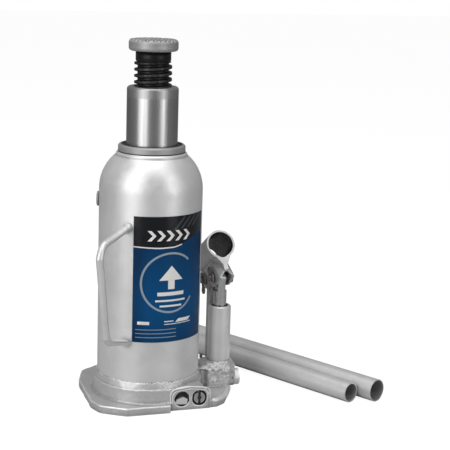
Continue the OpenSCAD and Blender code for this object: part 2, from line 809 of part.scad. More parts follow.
module filler_plug() {
    color("#8f9193") rotate([0, 0, filler_az]) {
        along_x(tank_r - 4.5, tank_r + 0.3, 0, filler_z, filler_r);
        translate([tank_r + 0.1, 0, filler_z]) rotate([0, 90, 0]) {
            cylinder(h = 1.2, r = 6.2);
            translate([0, 0, 1.2]) cylinder(h = 0.9, r1 = 6.2, r2 = 5);
        }
    }
}

// ---------------------------------------------------------------- handle tubes

tube_az = 118;                            // direction in which both tubes run away from the front
tube_end = [160, -57];                    // near end of the inner tube, on the floor
tube_spacing = (outer_tube_d + inner_tube_d) / 2 + 0.3;

// A tube on the floor that starts at a point beside the inner tube's near end
module floor_tube(od, id, offset_across) {
    translate([tube_end[0], tube_end[1], od / 2]) rotate([0, 0, tube_az])
        translate([offset_across[0], offset_across[1], 0]) rotate([0, 90, 0]) difference() {
            cylinder(h = tube_len, r = od / 2);
            translate([0, 0, -eps]) cylinder(h = tube_len + 2 * eps, r = id / 2);
            children();
        }
}

module outer_handle_tube() {
    color(paint) floor_tube(outer_tube_d, inner_tube_d + 0.3, [-13, -tube_spacing]);
}

module inner_handle_tube() {
    key_w = 2.4;
    color(paint) floor_tube(inner_tube_d, inner_tube_d - 2.4, [0, 0])
        translate([-key_w / 2, -15, tube_len - 6]) cube([key_w, 30, 6 + eps]);
}

base();
tank();
tank_bottom_seal();
tank_top_gasket();
pressure_cylinder();
cylinder_gasket();
top_nut();
ram_wiper();
ram_oring();
carry_handle();
label();
pump_cylinder();
pump_gasket();
pump_wiper();
suction_ball();
suction_plug();
oil_strainer();
delivery_ball();
delivery_spring();
delivery_retainer();
delivery_plug();
relief_ball();
relief_spring();
relief_screw();
relief_cap();
fulcrum_pin();
fulcrum_cotter();
ram();
ram_cup_seal();
cup_washer();
cup_circlip();
screw_stop_ring();
extension_screw();
saddle();
pump_piston();
piston_oring();
piston_backup_ring();
handle_socket();
piston_pin();
link_pin();
socket_cotters();
link_plates();
release_ball();
release_valve();
release_oring();
filler_plug();
outer_handle_tube();
inner_handle_tube();
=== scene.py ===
import bmesh
import bpy
import json
import math
import random
from mathutils import Matrix, Vector, noise


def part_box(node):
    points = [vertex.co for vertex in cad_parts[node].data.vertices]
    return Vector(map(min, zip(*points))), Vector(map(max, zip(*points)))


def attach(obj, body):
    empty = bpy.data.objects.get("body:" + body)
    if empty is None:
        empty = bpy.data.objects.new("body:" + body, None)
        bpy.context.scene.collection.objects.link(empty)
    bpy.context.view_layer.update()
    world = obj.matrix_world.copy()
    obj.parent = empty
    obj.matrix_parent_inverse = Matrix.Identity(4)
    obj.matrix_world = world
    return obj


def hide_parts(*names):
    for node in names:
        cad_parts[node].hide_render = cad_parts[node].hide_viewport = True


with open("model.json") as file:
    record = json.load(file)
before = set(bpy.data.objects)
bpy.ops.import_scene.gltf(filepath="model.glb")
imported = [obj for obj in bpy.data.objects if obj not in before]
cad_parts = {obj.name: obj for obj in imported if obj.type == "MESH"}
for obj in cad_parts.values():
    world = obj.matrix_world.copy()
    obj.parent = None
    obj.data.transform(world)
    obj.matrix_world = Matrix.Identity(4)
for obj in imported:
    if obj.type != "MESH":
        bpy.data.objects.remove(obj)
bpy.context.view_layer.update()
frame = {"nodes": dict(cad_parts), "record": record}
nodes = frame["nodes"]
rng = random.Random(7)

MM = 0.001

# Directions seen from the ram's axis, in degrees from +X, anticlockwise
CAMERA_HEADING = 71.74
FRONT = CAMERA_HEADING + 180


# ------------------------------------------------------------------ small mesh tools
def new_object(name, bm, material=None, smooth=True):
    mesh = bpy.data.meshes.new(name)
    bm.to_mesh(mesh)
    bm.free()
    for face in mesh.polygons:
        face.use_smooth = smooth
    obj = bpy.data.objects.new(name, mesh)
    bpy.context.scene.collection.objects.link(obj)
    if material:
        mesh.materials.append(material)
    return obj


def place(obj, body, slot, *replaced):
    """Puts a finished piece on its body, in place of the CAD nodes it stands for."""
    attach(obj, body)
    if replaced:
        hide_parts(*replaced)
    return obj


def apply_modifiers(obj):
    graph = bpy.context.evaluated_depsgraph_get()
    mesh = bpy.data.meshes.new_from_object(obj.evaluated_get(graph))
    old = obj.data
    obj.modifiers.clear()
    obj.data = mesh
    bpy.data.meshes.remove(old)


def remesh(obj, voxel, smooth_factor=0.5, smooth_steps=3):
    """Fuses overlapping solids into one skin with softened edges."""
    fuse = obj.modifiers.new("fuse", "REMESH")
    fuse.mode = "VOXEL"
    fuse.voxel_size = voxel
    soften = obj.modifiers.new("soften", "SMOOTH")
    soften.factor = smooth_factor
    soften.iterations = smooth_steps
    apply_modifiers(obj)
    for face in obj.data.polygons:
        face.use_smooth = True


def inside(point, low, high):
    """The nearest point in a box."""
    return Vector(min(high[i], max(low[i], point[i])) for i in range(3))


def reshape(obj, move):
    """Moves every vertex: move(point, normal) returns its new place."""
    starts = [(v.co.copy(), v.normal.copy()) for v in obj.data.vertices]
    moved = [c for point, normal in starts for c in move(point, normal)]
    obj.data.vertices.foreach_set("co", moved)
    obj.data.update()


def add_cad_node(bm, node):
    """Adds a welded copy of a CAD node's mesh."""
    part = bmesh.new()
    part.from_mesh(nodes[node].data)
    bmesh.ops.remove_doubles(part, verts=part.verts, dist=0.002 * MM)
    mesh = bpy.data.meshes.new("part")
    part.to_mesh(mesh)
    part.free()
    bm.from_mesh(mesh)
    bpy.data.meshes.remove(mesh)


def add_sweep(bm, path, radius, sides=12, closed=False, flatten=None):
    """Adds a tube along points. flatten(share) gives the section's (width, height) factors."""
    count = len(path)
    points = [Vector(p) for p in path]
    normal = None
    rings = []
    for i, p in enumerate(points):
        ahead = points[(i + 1) % count] if closed or i < count - 1 else p
        behind = points[i - 1] if closed or i > 0 else p
        tangent = (ahead - behind).normalized()
        if normal is None:
            helper = Vector((0, 0, 1)) if abs(tangent.z) < 0.9 else Vector((1, 0, 0))
            normal = tangent.cross(helper).normalized()
        normal = (normal - tangent * normal.dot(tangent)).normalized()
        across = tangent.cross(normal)
        wide, high = flatten(i / (count - 1)) if flatten else (1, 1)
        rings.append([bm.verts.new(p + radius * (normal * math.cos(a) * wide + across * math.sin(a) * high))
                      for a in (2 * math.pi * k / sides for k in range(sides))])
    last = count if closed else count - 1
    for i in range(last):
        a, b = rings[i], rings[(i + 1) % count]
        for k in range(sides):
            n = (k + 1) % sides
            bm.faces.new((a[k], a[n], b[n], b[k]))
    if not closed:
        bm.faces.new(rings[0][::-1])
        bm.faces.new(rings[-1])
    bmesh.ops.recalc_face_normals(bm, faces=bm.faces)


def add_ball(bm, centre, radius, scale=(1, 1, 1)):
    place_at = Matrix.Translation(centre) @ Matrix.Diagonal((*scale, 1))
    bmesh.ops.create_icosphere(bm, subdivisions=2, radius=radius, matrix=place_at)


def add_grid(bm, rows):
    """Joins rows of points, each a closed ring, into one closed skin; single points close the ends."""
    made = [[bm.verts.new(p) for p in row] for row in rows]
    for a, b in zip(made, made[1:]):
        n = max(len(a), len(b))
        for k in range(n):
            corners = [a[k % len(a)], a[(k + 1) % len(a)], b[(k + 1) % len(b)], b[k % len(b)]]
            unique = [v for j, v in enumerate(corners) if v not in corners[:j]]
            if len(unique) > 2:
                bm.faces.new(unique)
    bmesh.ops.recalc_face_normals(bm, faces=bm.faces)


def lathe_rows(profile, sides, axis_x=0, axis_y=0, shape=None):
    """Rings for (radius, z) pairs. shape(radius, angle, z) may move each point."""
    rows = []
    for radius, z in profile:
        if radius < 1e-6:
            rows.append([(axis_x, axis_y, shape(0, 0, z)[1] if shape else z)])
            continue
        row = []
        for k in range(sides):
            a = 2 * math.pi * k / sides
            r, h = shape(radius, a, z) if shape else (radius, z)
            row.append((axis_x + r * math.cos(a), axis_y + r * math.sin(a), h))
        rows.append(row)
    return rows


def arc(centre, radius, start, stop, steps):
    """Points (a, b) on an arc in a plane, angles in degrees."""
    angles = (math.radians(start + (stop - start) * i / steps) for i in range(steps + 1))
    return [(centre[0] + radius * math.cos(a), centre[1] + radius * math.sin(a)) for a in angles]


def smoothstep(low, high, x):
    t = min(1, max(0, (x - low) / (high - low)))
    return t * t * (3 - 2 * t)


# ------------------------------------------------------------------ materials
class Shader:
    """Builds one node material; every texture uses the object's own metres."""

    def __init__(self, name):
        self.material = bpy.data.materials.new(name)
        self.material.use_nodes = True
        self.tree = self.material.node_tree
        self.surface = self.tree.nodes["Principled BSDF"]
        self.coords = self.add("ShaderNodeTexCoord").outputs["Object"]

    def add(self, kind, **settings):
        made = self.tree.nodes.new(kind)
        for key, value in settings.items():
            setattr(made, key, value)
        return made

    def plug(self, socket, value):
        if isinstance(value, bpy.types.NodeSocket):
            self.tree.links.new(value, socket)
        elif isinstance(value, tuple) and len(value) == 3 and socket.type == "RGBA":
            socket.default_value = (*value, 1)
        else:
            socket.default_value = value

    def set(self, **values):
        for key, value in values.items():
            self.plug(self.surface.inputs[key.replace("_", " ")], value)

    def noise(self, size_mm, detail=3, stretch=(1, 1, 1), roughness=0.5):
        scale = self.add("ShaderNodeMapping")
        self.plug(scale.inputs["Vector"], self.coords)
        scale.inputs["Scale"].default_value = [1 / (size_mm * MM * s) for s in stretch]
        tex = self.add("ShaderNodeTexNoise")
        self.plug(tex.inputs["Vector"], scale.outputs[0])
        tex.inputs["Scale"].default_value = 1
        tex.inputs["Detail"].default_value = detail
        tex.inputs["Roughness"].default_value = roughness
        return tex.outputs["Fac"]

    def map(self, value, low, high, out_low, out_high):
        made = self.add("ShaderNodeMapRange")
        for socket, v in zip(made.inputs, (value, low, high, out_low, out_high)):
            self.plug(socket, v)
        return made.outputs[0]

    def math(self, operation, a, b=0.0):
        made = self.add("ShaderNodeMath", operation=operation)
        self.plug(made.inputs[0], a)
        self.plug(made.inputs[1], b)
        return made.outputs[0]

    def mix(self, share, a, b, blend="MIX"):
        made = self.add("ShaderNodeMixRGB", blend_type=blend)
        for socket, v in zip(made.inputs, (share, a, b)):
            self.plug(socket, v)
        return made.outputs[0]

    def axis(self, which):
        split = self.add("ShaderNodeSeparateXYZ")
        self.plug(split.inputs[0], self.coords)
        return split.outputs[which]

    def within(self, point, direction, radius):
        """1 closer to a line than a radius, 0 outside it."""
        away = self.add("ShaderNodeVectorMath", operation="SUBTRACT")
        self.plug(away.inputs[0], self.coords)
        away.inputs[1].default_value = point
        cross = self.add("ShaderNodeVectorMath", operation="CROSS_PRODUCT")
        self.plug(cross.inputs[0], away.outputs[0])
        cross.inputs[1].default_value = Vector(direction).normalized()
        length = self.add("ShaderNodeVectorMath", operation="LENGTH")
        self.plug(length.inputs[0], cross.outputs[0])
        return self.map(length.outputs["Value"], radius - 0.15 * MM, radius + 0.1 * MM, 1.0, 0.0)

    def edges(self, width_mm):
        """1 on sharp edges, 0 on flats."""
        bevel = self.add("ShaderNodeBevel", samples=4)
        bevel.inputs["Radius"].default_value = width_mm * MM
        flat = self.add("ShaderNodeNewGeometry").outputs["Normal"]
        dot = self.add("ShaderNodeVectorMath", operation="DOT_PRODUCT")
        self.plug(dot.inputs[0], bevel.outputs[0])
        self.plug(dot.inputs[1], flat)
        return self.map(dot.outputs["Value"], 0.995, 0.85, 0.0, 1.0)

    def hollows(self, reach_mm):
        """1 in the open, 0 deep in corners."""
        made = self.add("ShaderNodeAmbientOcclusion", samples=4)
        made.inputs["Distance"].default_value = reach_mm * MM
        return made.outputs["AO"]

    def relief(self, heights, round_mm=0.0):
        """Stacks bumps given as (height, depth in mm), over edges rounded by round_mm."""
        normal = None
        if round_mm:
            bevel = self.add("ShaderNodeBevel", samples=4)
            bevel.inputs["Radius"].default_value = round_mm * MM
            normal = bevel.outputs[0]
        for height, depth_mm in heights:
            bump = self.add("ShaderNodeBump")
            bump.inputs["Strength"].default_value = 1
            bump.inputs["Distance"].default_value = depth_mm * MM
            self.plug(bump.inputs["Height"], height)
            if normal:
                self.plug(bump.inputs["Normal"], normal)
            normal = bump.outputs[0]
        self.set(Normal=normal)


def grey(value, warm=0.0):
    return (value * (1 + warm), value, value * (1 - warm))


def silver_paint(name, tone=0.76, rough=0.42, metallic=0.6, grain=((0.9, 0.02), (4, 0.03)), round_mm=0.35,
                 hollow_shade_strength=0.7, bore=None, reach=4, crests=False):
    """Sprayed silver: cloudy tone, fine flakes, orange peel, rubbed edges, and hollows darkened as painted shade.

    bore, as (point, direction, radius), is a hole the spray didn't reach, painted near black as bare steel with
    painted shade. The crest flag lightens the convex edges of a dense mesh with worn paint and a painted
    highlight, and darkens its hollows with painted shade."""
    s = Shader(name)
    cloud = s.map(s.noise(22, 4), 0.3, 0.7, 0.93, 1.05)
    flake = s.map(s.noise(0.35, 1), 0.25, 0.75, 0.94, 1.06)
    colour = s.mix(1.0, grey(tone), s.math("MULTIPLY", cloud, flake), "MULTIPLY")
    rubbed = s.math("MULTIPLY", s.edges(0.5), s.map(s.noise(3, 3), 0.42, 0.6, 0.0, 0.7))
    colour = s.mix(rubbed, colour, grey(tone * 1.15))
    # painted shade: the paint goes darker where ambient occlusion finds hollows
    hollow_shade = s.map(s.hollows(reach), 0.25, 0.95, hollow_shade_strength, 0.0)
    colour = s.mix(hollow_shade, colour, grey(tone * 0.2, 0.03))
    # worn paint and a painted highlight on convex edges, painted shade in hollows
    if crests:
        ridge = s.add("ShaderNodeNewGeometry").outputs["Pointiness"]
        colour = s.mix(s.map(ridge, 0.51, 0.54, 0.0, 0.85), colour, grey(0.9))
        colour = s.mix(s.map(ridge, 0.49, 0.46, 0.0, 0.75), colour, grey(tone * 0.25))
    # the bore painted near black: unpainted steel, deepened with painted shade
    if bore:
        bore_shade = s.within(*bore)
        colour = s.mix(bore_shade, colour, grey(0.014))
        metallic = s.map(bore_shade, 0.0, 1.0, metallic, 0.15)
    s.set(Base_Color=colour, Metallic=metallic, Specular_IOR_Level=0.5,
          Roughness=s.map(s.noise(5, 4), 0.3, 0.7, rough - 0.05, rough + 0.07))
    s.relief([(s.noise(size, 3), depth) for size, depth in grain], round_mm)
    return s.material


def bare_steel(name, tone, rough, warm=0.0, stain=0.25, round_mm=0.2, brushed=(1, 1, 1)):
    """Steel with fine tool marks and darker stains."""
    s = Shader(name)
    marks = s.noise(0.5, 3, brushed)
    stains = s.map(s.noise(3, 4), 0.45, 0.7, 0.0, stain)
    colour = s.mix(stains, grey(tone, warm), grey(tone * 0.35, warm + 0.05))
    worn = s.math("MULTIPLY", s.edges(0.4), 0.5)
    s.set(Base_Color=s.mix(worn, colour, grey(min(0.9, tone * 1.6), warm)), Metallic=1.0,
          Roughness=s.map(marks, 0.3, 0.7, rough - 0.06, rough + 0.08))
    s.relief([(marks, 0.015)], round_mm)
    return s.material


def rubber(name, tone=0.02, rough=0.6):
    s = Shader(name)
    bloom = s.map(s.noise(2.5, 4), 0.4, 0.7, 0.0, 0.5)
    s.set(Base_Color=s.mix(bloom, grey(tone), grey(tone * 2.4)), Specular_IOR_Level=0.35,
          Roughness=s.map(s.noise(1.2, 3), 0.3, 0.7, rough - 0.1, rough + 0.15))
    s.relief([(s.noise(0.4, 2), 0.02)], 0.15)
    return s.material


def ram_chrome():
    """Hard chrome with fine rings of polish, and a dull, turned band round the top end."""
    s = Shader("ram_chrome")
    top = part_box("ram")[1].z
    dull = s.map(s.axis(2), top - 8.6 * MM, top - 8.2 * MM, 0.0, 1.0)
    rings = s.noise(0.3, 2, (40, 40, 1))
    streaks = s.noise(2.2, 3, (1, 1, 60))
    colour = s.mix(s.map(streaks, 0.4, 0.65, 0.0, 0.4), grey(0.5), grey(0.3))
    colour = s.mix(dull, colour, grey(0.42))
    s.set(Base_Color=colour, Metallic=1.0,
          Roughness=s.math("ADD", s.map(streaks, 0.3, 0.7, 0.27, 0.36), s.math("MULTIPLY", dull, 0.1)))
    s.relief([(rings, 0.002), (s.noise(0.6, 2, (30, 30, 1)), 0.006)], 0.3)
    return s.material


def black_oxide():
    """Oiled black steel whose crests are rubbed to grey."""
    s = Shader("black_oxide")
    x, y = s.axis(0), s.axis(1)
    away = s.math("SQRT", s.math("ADD", s.math("MULTIPLY", x, x), s.math("MULTIPLY", y, y)))
    crest = s.map(away, 14.6 * MM, 15.1 * MM, 0.0, 0.55)
    rub = s.math("MULTIPLY", crest, s.map(s.noise(2, 4), 0.4, 0.6, 0.2, 1.0))
    s.set(Base_Color=s.mix(rub, grey(0.012), grey(0.09)), Metallic=0.6,
          Roughness=s.map(s.noise(0.8, 3), 0.3, 0.7, 0.32, 0.5))
    s.relief([(s.noise(0.35, 2), 0.02)])
    return s.material


def label_print():
    """Blue field, deeper at its rim, under a clear gloss film."""
    s = Shader("label_blue")
    low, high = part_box("label")
    z = s.axis(2)
    foot = s.map(z, low.z, low.z + 24 * MM, 0.5, 0.0)
    head = s.map(z, high.z - 62 * MM, high.z - 26 * MM, 0.0, 0.6)
    near = s.map(s.axis(0), -12 * MM, -20 * MM, 0.0, 0.5)
    far = s.map(s.axis(0), 24 * MM, 36 * MM, 0.0, 0.45)
    shade = s.math("MINIMUM", s.math("ADD", s.math("ADD", foot, head), s.math("ADD", near, far)), 0.85)
    s.set(Base_Color=s.mix(shade, (0.002, 0.068, 0.20), (0.002, 0.026, 0.08)), Metallic=0.0,
          Roughness=s.map(s.noise(6, 3), 0.3, 0.7, 0.36, 0.44), Specular_IOR_Level=0.12)
    s.relief([(s.noise(9, 2), 0.01)])
    return s.material


def ink(name, colour, rough=0.3):
    s = Shader(name)
    patchy = s.map(s.noise(1.5, 3), 0.3, 0.7, 0.94, 1.0)
    s.set(Base_Color=s.mix(1.0, colour, patchy, "MULTIPLY"), Specular_IOR_Level=0.3,
          Roughness=s.map(s.noise(5, 2), 0.3, 0.7, rough - 0.04, rough + 0.04))
    s.relief([(s.noise(0.8, 2), 0.002)])
    return s.material


def moulded(name, tone, rough):
    s = Shader(name)
    s.set(Base_Color=s.mix(s.map(s.noise(2, 4), 0.35, 0.7, 0.0, 1.0), grey(tone), grey(tone * 0.8)),
          Roughness=s.map(s.noise(1, 3), 0.3, 0.7, rough - 0.06, rough + 0.08))
    s.relief([(s.noise(0.3, 2), 0.015)], 0.2)
    return s.material


def brassy(name, colour, rough):
    s = Shader(name)
    tarnish = s.map(s.noise(1.6, 4), 0.4, 0.65, 0.0, 0.6)
    s.set(Base_Color=s.mix(tarnish, colour, tuple(c * 0.45 for c in colour)), Metallic=1.0,
          Roughness=s.map(s.noise(0.7, 3), 0.3, 0.7, rough - 0.05, rough + 0.1))
    s.relief([(s.noise(0.4, 2), 0.01)], 0.15)
    return s.material


finish = {
    "silver_paint": silver_paint("silver_paint"),
    # the cast paint: strong painted shade in hollows, worn paint and painted highlights on crests
    "silver_paint_cast": silver_paint("silver_paint_cast", 0.6, 0.42, 0.58,
                                      ((0.8, 0.1), (2.2, 0.13), (7, 0.18)), 0.0, 0.85, crests=True),
    "ram_chrome": ram_chrome(),
    "black_oxide": black_oxide(),
    "rubber": rubber("rubber"),
    "steel": bare_steel("steel", 0.55, 0.3),
    "piston_steel": bare_steel("piston_steel", 0.62, 0.24, 0.0, 0.3, 0.2, (1, 1, 40)),
    "dark_steel": bare_steel("dark_steel", 0.2, 0.38),
    "aged_steel": bare_steel("aged_steel", 0.3, 0.42, 0.10, 0.5),
    "copper": brassy("copper", (0.72, 0.36, 0.2), 0.3),
    "strainer_brass": brassy("strainer_brass", (0.78, 0.58, 0.25), 0.32),
    "backup_plastic": moulded("backup_plastic", 0.8, 0.4),
    "filler_plastic": moulded("filler_plastic", 0.33, 0.5),
    "label": label_print(),
}


TUBE_DIRECTION = (math.cos(math.radians(118)), math.sin(math.radians(118)), 0)


def special_paints():
    """Silver paint for the nodes whose holes are bare and near black with painted shade, or that are rubbed
    duller; the link plates get a darker copy with heavy painted shade in their hollows.
    """
    made = {"top_nut": silver_paint("nut_paint", 0.4, 0.5), "suction_plug": finish["silver_paint_cast"],
            "pump_cylinder": silver_paint("pump_paint", 0.8),
            # link plates: a darker tone and strong hollow darkening, partly painted shade
            "link_plates": silver_paint("link_paint_and_shade", 0.46, 0.4, hollow_shade_strength=0.95, reach=12)}
    # the tube and socket bores are painted near black: bare steel with painted shade
    for node, bore_r in (("outer_handle_tube", 8.65 * MM), ("inner_handle_tube", 7.3 * MM)):
        low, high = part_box(node)
        made[node] = silver_paint(node + "_paint", bore=((low + high) / 2, TUBE_DIRECTION, bore_r))
    mount = next(m for m in frame["record"]["mounts"] if m["name"] == "socket_bore")
    bore = (mount["pos_m"], mount["axis"], mount["dims"]["r_mm"] * MM + 0.35 * MM)
    made["handle_socket"] = silver_paint("socket_paint", 0.58, bore=bore)
    return made


def dress_cad_nodes():
    """Gives every CAD node its finish and shades its round faces smoothly."""
    slots = {part["node"]: part["material_slot"] for part in frame["record"]["subparts"]}
    group = smooth_by_angle_group(math.radians(32))
    for name, obj in nodes.items():
        obj.data.materials.clear()
        obj.data.materials.append(paints.get(name, finish[slots[name]]))
        weld = obj.modifiers.new("weld", "WELD")
        weld.merge_threshold = 0.002 * MM
        smooth = obj.modifiers.new("smooth", "NODES")
        smooth.node_group = group


paints = special_paints()


def smooth_by_angle_group(angle):
    """Geometry nodes that shade faces smooth but keep edges sharper than an angle."""
    group = bpy.data.node_groups.new("smooth_by_angle", "GeometryNodeTree")
    group.interface.new_socket("Geometry", in_out="INPUT", socket_type="NodeSocketGeometry")
    group.interface.new_socket("Geometry", in_out="OUTPUT", socket_type="NodeSocketGeometry")
    made = {kind: group.nodes.new(kind) for kind in
            ("NodeGroupInput", "NodeGroupOutput", "GeometryNodeInputMeshEdgeAngle", "FunctionNodeCompare")}
    faces, edges = (group.nodes.new("GeometryNodeSetShadeSmooth") for _ in range(2))
    edges.domain = "EDGE"
    compare = made["FunctionNodeCompare"]
    compare.operation = "LESS_EQUAL"
    compare.inputs["B"].default_value = angle
    links = group.links
    links.new(made["NodeGroupInput"].outputs[0], faces.inputs["Geometry"])
    links.new(faces.outputs["Geometry"], edges.inputs["Geometry"])
    links.new(made["GeometryNodeInputMeshEdgeAngle"].outputs["Unsigned Angle"], compare.inputs["A"])
    links.new(compare.outputs["Result"], edges.inputs["Shade Smooth"])
    links.new(edges.outputs["Geometry"], made["NodeGroupOutput"].inputs[0])
    return group


# ------------------------------------------------------------------ extension screw and saddle
PITCH = 5 * MM
CREST_R = 15.15 * MM
ROOT_R = 12.55 * MM
NECK_R = 14.2 * MM
NECK_H = 8 * MM
SADDLE_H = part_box("saddle")[1].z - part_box("saddle")[0].z


def thread_radius(phase):
    """Radius over one turn, phase 0 at the middle of the crest."""
    flank = abs((phase + 0.5) % 1 - 0.5)
    return CREST_R - (CREST_R - ROOT_R) * smoothstep(0.17, 0.36, flank)


def build_screw():
    """A right-handed thread that runs out under a plain neck."""
    low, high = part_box("extension_screw")
    under_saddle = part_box("saddle")[0].z
    runout = under_saddle - NECK_H
    groove_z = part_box("screw_stop_ring")
    first_crest = runout - 0.4 * PITCH
    start = math.radians(FRONT - 90)

    def shape(radius, angle, z):
        if radius < ROOT_R * 0.99 or z > runout:
            return radius, z
        if groove_z[0].z - 0.2 * MM < z < groove_z[1].z + 0.1 * MM:
            return 9.45 * MM, z
        turn = ((angle - start) / (2 * math.pi)) % 1
        r = thread_radius((z - first_crest) / PITCH - turn)
        fade = smoothstep(runout - 1.0 * MM, runout, z)
        return r + (NECK_R - 0.6 * MM - r) * fade, z

    step = 0.25 * MM
    profile = [(0, low.z), (ROOT_R - 1.2 * MM, low.z)]
    profile += [(ROOT_R, low.z + step * i) for i in range(1, int((runout - low.z) / step))]
    profile += [(NECK_R - 0.5 * MM, runout + 0.1 * MM), (NECK_R, runout + 0.6 * MM), (NECK_R, under_saddle),
                (8 * MM, under_saddle), (8 * MM, high.z), (0, high.z)]
    bm = bmesh.new()
    add_grid(bm, lathe_rows(profile, 96, shape=shape))
    screw = new_object("screw_with_thread", bm, finish["black_oxide"])
    place(screw, "extension_screw", "black_oxide", "extension_screw")


def build_saddle():
    """A round pad: waffle grooves on top, a knurled rim that is worn smooth in places."""
    low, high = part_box("saddle")
    radius = high.x
    edge = 2.6 * MM
    cell = 4.4 * MM
    groove = 1.1 * MM
    top = high.z

    def waffle(x, y):
        turn = math.radians(24)
        u = x * math.cos(turn) + y * math.sin(turn)
        v = y * math.cos(turn) - x * math.sin(turn)
        near = min(abs((c / cell) % 1 - 0.5) for c in (u, v)) * cell
        return groove * (1 - smoothstep(0.25 * MM, 1.0 * MM, near))

    def shape(r, angle, z):
        on_top = smoothstep(top - edge * 0.85, top - 0.2 * MM, z)
        z -= waffle(r * math.cos(angle), r * math.sin(angle)) * on_top
        side = smoothstep(radius * 0.93, radius * 0.99, r)
        knurl = math.sin(angle * 52 + z / (0.55 * MM)) * math.sin(angle * 52 - z / (0.55 * MM))
        worn = smoothstep(0.25, 0.8, abs(math.sin(angle - math.radians(FRONT))))
        dent = noise.noise(Vector((math.cos(angle) * 3, math.sin(angle) * 3, z * 300)))
        return r - side * (0.32 * MM * worn * (knurl * 0.5 + 0.5) + 0.12 * MM * abs(dent)), z

    profile = [(0, low.z), (8 * MM, low.z), (radius - edge, low.z)]
    profile += arc((radius - edge, low.z + edge), edge, -80, 0, 5)
    profile += [(radius, low.z + edge + (SADDLE_H - 2 * edge) * i / 10) for i in range(1, 10)]
    profile += arc((radius - edge, top - edge), edge, 0, 90, 7)
    profile += [((radius - edge) * (1 - i / 34), top) for i in range(1, 35)]
    bm = bmesh.new()
    add_grid(bm, lathe_rows(profile, 288, shape=shape))
    place(new_object("saddle_pad", bm, paints["top_nut"]), "extension_screw", "silver_paint", "saddle")


# ------------------------------------------------------------------ base casting
TANK_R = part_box("tank")[1].x
WELD_LOW, WELD_HIGH = 18.6 * MM, 24.8 * MM
PANEL_Y = -44 * MM
BASE_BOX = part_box("base")


def panel_arch(inset):
    """Outline of the valve face's arch, drawn in by an inset, as (x, z)."""
    left, right, crown = 7 * MM + inset, 41.8 * MM - inset, 19.8 * MM - inset
    shoulder = 6 * MM - inset * 0.5
    points = [(left, 1.5 * MM), (left, crown - shoulder - 1 * MM)]
    points += arc((left + shoulder, crown - shoulder - 1 * MM), shoulder, 180, 110, 5)
    points += [(24.4 * MM, crown + 0.3 * MM)]
    points += arc((right - shoulder, crown - shoulder - 1 * MM), shoulder, 70, 0, 5)
    return points + [(right, 1.5 * MM)]


def add_heel(bm):
    """A low bead where the round boss stands on the foot."""
    ring = [(44.6 * MM * math.cos(a), 44.6 * MM * math.sin(a), 6.8 * MM)
            for a in (2 * math.pi * k / 120 for k in range(120))]
    add_sweep(bm, ring, 0.8 * MM, 8, closed=True)


def build_base_rims():
    """Raised rims round the valve face, and the bead on the foot's right lobe."""
    bm = bmesh.new()
    for inset, radius in ((0.5 * MM, 0.6 * MM), (2.4 * MM, 0.45 * MM)):
        add_sweep(bm, [(x, PANEL_Y - 0.05 * MM, z) for x, z in panel_arch(inset)], radius, 10)
    lobe = [(43.5, -41), (48, -40.6), (55.5, -34.6), (61.5, -25), (67, -11.5), (67.4, 0), (67, 9)]
    add_sweep(bm, smooth_path([(x * MM, y * MM, 5.4 * MM) for x, y in lobe]), 2.3 * MM, 14,
              flatten=lambda t: (1, 0.8))
    rims = new_object("base_rims", bm, finish["silver_paint_cast"])
    place(rims, "jack_base", "silver_paint_cast")


def smooth_path(points, steps=6):
    """A curve through points, by Catmull and Rom's rule."""
    p = [Vector(q) for q in points]
    p = [2 * p[0] - p[1]] + p + [2 * p[-1] - p[-2]]
    path = []
    for a, b, c, d in zip(p, p[1:], p[2:], p[3:]):
        for i in range(steps):
            t = i / steps
            path.append(0.5 * (2 * b + (c - a) * t + (2 * a - 5 * b + 4 * c - d) * t * t
                               + (3 * b - a - 3 * c + d) * t ** 3))
    return path + [p[-2]]


def grown(node, margin):
    """A node's box with a margin all round."""
    low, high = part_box(node)
    return low - Vector((1, 1, 1)) * margin, high + Vector((1, 1, 1)) * margin


# the casting stands back a little from the moving pieces that run close to it
CLOSE_FITS = [grown(node, 1.2 * MM) for node in ("link_plates", "release_valve", "release_oring")]


def roughen_casting(point, normal):
    """Weld ripples round the tank's foot and the soft unevenness of a sand casting."""
    x, y, z = point
    away = math.hypot(x, y)
    moved = point.copy()
    if WELD_LOW < z < WELD_HIGH + 1 * MM and 41.5 * MM < away < 45 * MM:
        angle = math.atan2(y, x)
        along = angle * away + 0.8 * MM * noise.noise(Vector((angle * 9, z * 400, 0)))
        ripples = 0.04 + 0.2 * smoothstep(math.radians(-115), math.radians(-70), angle)
        lift = ripples * MM * abs(math.sin(along / (0.9 * MM) + z / (1.4 * MM))) * smoothstep(WELD_LOW, 20 * MM, z)
        moved += Vector((x, y, 0)) / away * lift
    if z > 0.35 * MM:
        lump = noise.noise(point * 160) * 0.22 + noise.noise(point * 520) * 0.10
        on_block = smoothstep(47 * MM, 50 * MM, x) * smoothstep(8 * MM, 12 * MM, z)
        lump += on_block * (noise.noise(point * 330) * 0.7 + noise.noise(point * 700) * 0.3)
        if any(inside(point, low, high) == point for low, high in CLOSE_FITS):
            lump = min(lump, 0) - 0.2
        moved += normal * lump * MM
    return inside(moved, *BASE_BOX)


def build_base():
    bm = bmesh.new()
    add_cad_node(bm, "base")
    add_heel(bm)
    base = new_object("base_casting", bm, finish["silver_paint_cast"])
    remesh(base, 0.6 * MM, 0.4, 2)
    reshape(base, roughen_casting)
    place(base, "jack_base", "silver_paint_cast", "base")


# ------------------------------------------------------------------ oil tank
FILLER_AZIMUTH, FILLER_R = math.radians(162), 5 * MM
TANK_TOP, SHOULDER_R = 176 * MM, 35.6 * MM
LIP_R, LIP_TOP_R, LIP_H = 28.9 * MM, 27.7 * MM, 3 * MM
LIP_HOLE_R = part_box("pressure_cylinder")[1].x + 0.1 * MM


